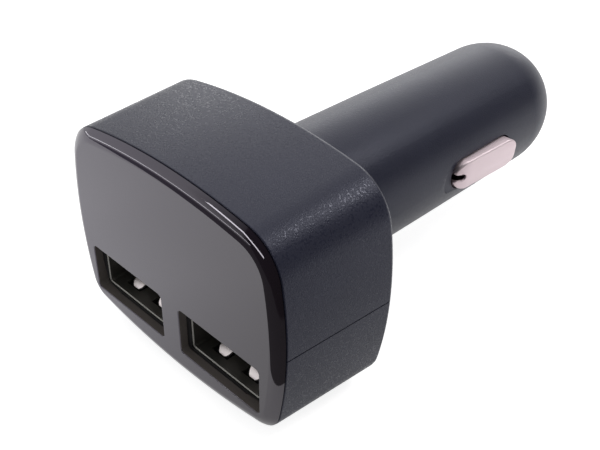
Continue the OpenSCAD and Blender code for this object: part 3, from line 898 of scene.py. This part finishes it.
# %% [markdown]
# A side contact is a cap drawn from nickel-plated sheet. Its crown follows the barrel's roundness,
# slopes down at the head-side end, leans out towards the other and ends bluntly there. A flange
# behind the wall keeps it in, and a slit with flared lips opens its head-side end. The skin is
# grown from the inside of the cap, round the flange, up the outside and over the rim, until the
# last pill collapses onto the crown's middle.

# %% Side contacts
side_l, side_h, side_out, side_t = 14 * mm, 4.8 * mm, 1 * mm, 0.4 * mm
side_slope = 3 * mm
side_lean = 0.4 * mm
far_rim = 0.7 * mm
cap_edge_r = 0.25 * mm
crown_parts = (0.45, 0.65, 0.83, 1)
inner_inset = 1.4 * mm
flange_edge = 0.7 * mm
flange_x = 7.695 * mm
slit_w = 0.9 * mm
slit_l = 1.35 * mm
slit_lip_r = 0.6 * mm
slit_edge_r = 0.12 * mm
slit_zone_l, slit_zone_h = 2.5 * mm, 1.6 * mm
side_drop = side_out + 0.1 * mm
slope_r = (side_slope ** 2 + side_drop ** 2) / (2 * side_drop)


def crown_reach(u, v, drop):
    """How far from the barrel's axis the crown lies, sunk by drop."""
    near, far = side_slope - side_l / 2 - u, u - side_l / 2 + far_rim
    lean = -near / (side_l - side_slope - far_rim)
    along = barrel_r + side_out - drop + side_lean * min(max(lean, 0), 1)
    if near > 0:
        along -= slope_r - sqrt(slope_r ** 2 - near ** 2)
    if far > 0:
        along -= far_rim - sqrt(max(far_rim ** 2 - far ** 2, 0))
    return sqrt(along ** 2 - (side_z + v - axis_z) ** 2)


def crown_ring(side, inset, drop):
    """The cap's pill at the crown, moved in by inset and sunk by drop."""
    points = pill(side_l - 2 * inset, side_h - 2 * inset)
    return side_ring(side, points, [crown_reach(u, v, drop) for u, v in points], side_mid)


def flat_ring(side, length, height, across):
    """A pill that lies flat beside the barrel, across its distance from the axis."""
    return side_ring(side, pill(length, height), across, side_mid)


def slit_shape():
    """The slit seen from the side: a round inner end, straight sides and flared lips."""
    inner, half, lip = -side_l / 2 + slit_l, slit_w / 2, slit_lip_r
    mouth = -side_l / 2 + 0.05 * mm
    upper = [(u, v) for u, v in arc_steps((inner, 0), half, 0, 90, 6)]
    upper += arc_steps((mouth + lip, half + lip), lip, -90, -180, 8)
    upper += [(mouth - 3 * mm, half + lip)]
    return upper + [(u, -v) for u, v in reversed(upper[1:])]


def side_contact(name, side):
    """One cap with its flange, grown from the inside out, and its slit."""
    flange_back = flange_x - side_t
    flange_l, flange_h = pocket_l + 2 * flange_edge, pocket_h + 2 * flange_edge
    rings = [crown_ring(side, side_t + inner_inset, side_t), crown_ring(side, side_t, side_t),
             flat_ring(side, side_l - 2 * side_t, side_h - 2 * side_t, flange_back),
             flat_ring(side, flange_l, flange_h, flange_back),
             flat_ring(side, flange_l, flange_h, flange_x),
             flat_ring(side, side_l, side_h, flange_x)]
    rings += [crown_ring(side, cap_edge_r - out, cap_edge_r - up)
              for out, up in arc_steps((0, 0), cap_edge_r, 0, 90, 6)]
    rings += [crown_ring(side, part * side_h / 2, 0) for part in crown_parts]
    contact = grow_skin(name, rings, cap_end=False)
    merge_points(contact)
    slit = [side_ring(side, slit_shape(), x, side_mid) for x in (flange_x, 2 * barrel_r)]
    cut(contact, grow_skin("slit", slit))
    round_edges(contact, lambda p: abs(p.x) > flange_x + 0.3 * mm
                and p.y < face_y + side_mid - side_l / 2 + slit_zone_l
                and abs(p.z - side_z) < slit_zone_h, slit_edge_r)
    return contact


for name, side in (("left", -1), ("right", 1)):
    finish(side_contact(f"side_cap_{name}", side), nickel, "nickel", f"side_contact_{name}",
           f"side_contact_{name}")

# %% [markdown]
# The tip contact is turned from bar: a spigot that centres its spring, a collar that stops it in
# the bore, and a pin with a domed end that bears on the bottom of the socket. It is grown from
# circles round the barrel's axis.

# %% Tip contact
tip_r, tip_dome_r, tip_flat_r = 2.1 * mm, 1 * mm, 0.3 * mm
tip_out = 3 * mm
collar_r, collar_l, collar_edge = 3.4 * mm, 1.4 * mm, 0.15 * mm
spigot_r, spigot_l, spigot_edge = 1.6 * mm, 1.5 * mm, 0.3 * mm
collar_back = shoulder - collar_l
spigot_back = collar_back - spigot_l
tip_end = nose_face + tip_out
tip_profile = [(spigot_r - spigot_edge, spigot_back), (spigot_r, spigot_back + spigot_edge),
               (spigot_r, collar_back), (collar_r - collar_edge, collar_back),
               (collar_r, collar_back + collar_edge), (collar_r, shoulder), (tip_r, shoulder)]
tip_profile += arc_steps((tip_r - tip_dome_r, tip_end - tip_dome_r), tip_dome_r, 0, 70, 7)
tip_profile += [(tip_flat_r, tip_end)]
tip = grow_skin("tip_pin", [round_ring(*ring) for ring in tip_profile])
finish(tip, nickel, "nickel", "tip_contact", "tip_contact")

# %% [markdown]
# Three springs give as the contacts go in. The tip's is a wire wound from its seat to the collar,
# with its end turns closed. Behind each side contact is a strip bent into a bow, which stands with
# both feet on the edge of the board. Each one keeps to its CAD node's box.

# %% Springs
wire = 0.6 * mm
strip_t = 0.35 * mm
strip_edge_r = 0.05 * mm


def wound_wire(name, low, high, turns=6, steps=24, sides=10):
    """A coil spring between two corners of a box, its first and last turns closed."""
    radius = (high[0] - low[0] - wire) / 2
    closed_rise = 1.03 * wire
    open_rise = (high[1] - low[1] - wire - 2 * closed_rise) / (turns - 2)
    rings = []
    for i in range(turns * steps + 1):
        turn = i / steps
        rise = min(turn, 1) * closed_rise + max(turn - turns + 1, 0) * closed_rise
        rise += min(max(turn - 1, 0), turns - 2) * open_rise
        rings.append([Vector(((radius + wire / 2 * cos(a)) * cos(2 * pi * turn),
                              low[1] + rise + wire / 2 * (1 + sin(a)),
                              axis_z + (radius + wire / 2 * cos(a)) * sin(2 * pi * turn)))
                      for a in (2 * pi * k / sides for k in range(sides))])
    return grow_skin(name, rings)


def bowed_strip(name, side, low, high, steps=24):
    """A strip bent into an arc between two corners of a box, its feet towards the axis."""
    foot, crown = sorted((abs(low[0]), abs(high[0])))
    middle, half = (low[1] + high[1]) / 2, (high[1] - low[1]) / 2
    r = (half ** 2 + (crown - foot) ** 2) / (2 * (crown - foot))
    centre = crown - r
    outer, inner = acos((foot - centre) / r), acos((foot - centre) / (r - strip_t))
    rings = []
    for part in (2 * i / steps - 1 for i in range(steps + 1)):
        edge = [(centre + q * cos(part * turn), middle + q * sin(part * turn))
                for q, turn in ((r, outer), (r - strip_t, inner))]
        rings.append([Vector((side * edge[k][0], edge[k][1], z))
                      for k, z in ((0, low[2]), (0, high[2]), (1, high[2]), (1, low[2]))])
    strip = grow_skin(name, rings)
    round_edges(strip, lambda p: True, strip_edge_r, steps=2)
    return strip


def give(piece):
    """Gives a spring a mesh of its own."""
    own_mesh(piece)


low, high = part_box("tip_spring")
coil = wound_wire("tip_coil", low, high)
finish(coil, spring_steel, "spring_steel", "body", "tip_spring")
give(coil)
for name, side in (("left", -1), ("right", 1)):
    low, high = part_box(f"side_spring_{name}")
    bow = bowed_strip(f"side_bow_{name}", side, low, high)
    finish(bow, spring_steel, "spring_steel", "body", f"side_spring_{name}")
    give(bow)

# %% [markdown]
# The other pieces keep their CAD shapes: the carrier, the display, the boards and what is on
# them, and the tip spring's seat. They only get finishes. Boards are green lacquer over a faint
# pattern of copper tracks, sleeves and ferrite are plain, and the display is dark behind the
# smoked panel.

# %% Finishes for the inner pieces
def plain(name, dark, light, roughness, scale, depth=0.0):
    """Two close tones with a fine grain, for small parts."""
    material, tree, shader = new_material(name)
    grain = noise(tree, scale, spot(tree))
    feed(tree, shader.inputs["Base Color"], blended(tree, "RGBA", grain, (*dark, 1), (*light, 1)))
    if depth:
        feed(tree, shader.inputs["Normal"], relief(tree, grain, depth, 0.5))
    shader.inputs["Roughness"].default_value = roughness
    return material


def board_lacquer():
    """Green lacquer with lighter tracks in a square pattern."""
    material, tree, shader = new_material("board_green")
    tracks = tree.nodes.new("ShaderNodeTexBrick")
    tracks.inputs["Color1"].default_value = (0.012, 0.075, 0.03, 1)
    tracks.inputs["Color2"].default_value = (0.015, 0.09, 0.035, 1)
    tracks.inputs["Mortar"].default_value = (0.03, 0.16, 0.06, 1)
    tracks.inputs["Scale"].default_value = 350
    tracks.inputs["Mortar Size"].default_value = 0.06
    feed(tree, tracks.inputs["Vector"], spot(tree))
    feed(tree, shader.inputs["Base Color"], tracks.outputs["Color"])
    shader.inputs["Roughness"].default_value = 0.35
    return material


sleeve = plain("capacitor_sleeve", (0.012, 0.018, 0.05), (0.018, 0.026, 0.07), 0.35, 900)
ferrite = plain("ferrite", (0.05, 0.048, 0.047), (0.09, 0.088, 0.085), 0.7, 3000, 0.02 * mm)
screen = plain("display", (0.012, 0.012, 0.013), (0.02, 0.02, 0.022), 0.3, 700)
lacquer = board_lacquer()
inner_finishes = {
    "panel_carrier": black, "usb_insulator_left": black, "usb_insulator_right": black,
    "converter_chip": black, "diode": black, "display": screen, "display_board": lacquer,
    "usb_board": lacquer, "main_board": lacquer, "usb_contacts_left": gold,
    "usb_contacts_right": gold, "board_pins": gold, "output_capacitor": sleeve,
    "input_capacitor": sleeve, "inductor_core": ferrite, "inductor_coil": copper,
    "spring_seat": brass,
}
for name, material in inner_finishes.items():
    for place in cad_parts[name].material_slots:
        place.material = material
print("inner finishes:", len(inner_finishes))
